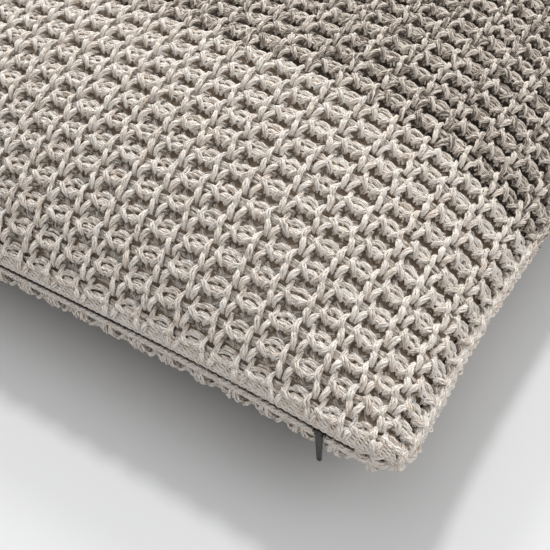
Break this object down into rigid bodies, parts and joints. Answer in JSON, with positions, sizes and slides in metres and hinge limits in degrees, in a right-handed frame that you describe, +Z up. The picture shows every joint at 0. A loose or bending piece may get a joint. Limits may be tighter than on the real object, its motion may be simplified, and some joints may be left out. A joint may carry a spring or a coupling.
{
  "type": "throw pillow",
  "caption": "Square rib-knitted throw pillow in two colour blocks, lying flat, with a concealed zip along one edge and a removable filled insert.",
  "frame": {"origin": "centre of the bounding box's footprint, on the surface that the pillow lies on", "axes": "+X along the zip edge towards the end where the slider rests closed, +Y from the zip edge across the pillow to the far edge, +Z up through the front face"},
  "size_m": [0.47, 0.4742, 0.1123],
  "materials": {
    "cream_yarn": "matt plied cotton yarn, cream flecked with beige",
    "taupe_yarn": "matt plied cotton yarn, taupe flecked with grey-brown",
    "zip_tape": "dark grey woven polyester tape",
    "zip_coil": "dark grey nylon monofilament",
    "sewing_thread": "beige sewing thread",
    "zip_metal": "gunmetal lacquer on die-cast zinc",
    "casing_cotton": "unbleached plain-weave cotton",
    "fill_fibre": "loose white polyester fibre",
    "label_tape": "blank satin-woven label tape"
  },
  "bodies": {
    "cushion": {"front_panel_cream": "cream_yarn", "front_panel_taupe": "taupe_yarn", "back_panel_cream": "cream_yarn", "back_panel_taupe": "taupe_yarn", "seam_left": "cream_yarn", "seam_right": "cream_yarn", "seam_far": "taupe_yarn", "zipper_tape_front": "zip_tape", "zipper_tape_back": "zip_tape", "zipper_coil_front": "zip_coil", "zipper_coil_back": "zip_coil", "zipper_stitching_front": "sewing_thread", "zipper_stitching_back": "sewing_thread", "zipper_top_stop": "zip_metal", "zipper_bottom_stop": "zip_metal", "insert_casing_front": "casing_cotton", "insert_casing_back": "casing_cotton", "insert_edge_thread": "sewing_thread", "insert_filling": "fill_fibre", "care_label": "label_tape"},
    "slider": {"zipper_slider": "zip_metal"},
    "pull_tab": {"zipper_pull_tab": "zip_metal"}
  },
  "joints": [
    {"name": "zip_slide", "type": "slide", "parent": "cushion", "child": "slider", "axis": [1, 0, 0], "range_m": [-0.415, 0]},
    {"name": "tab_swing", "type": "hinge", "parent": "slider", "child": "pull_tab", "pos_m": [0.20775, -0.23597, 0.04], "axis": [-1, 0, 0], "range_deg": [-5, 165]}
  ]
}
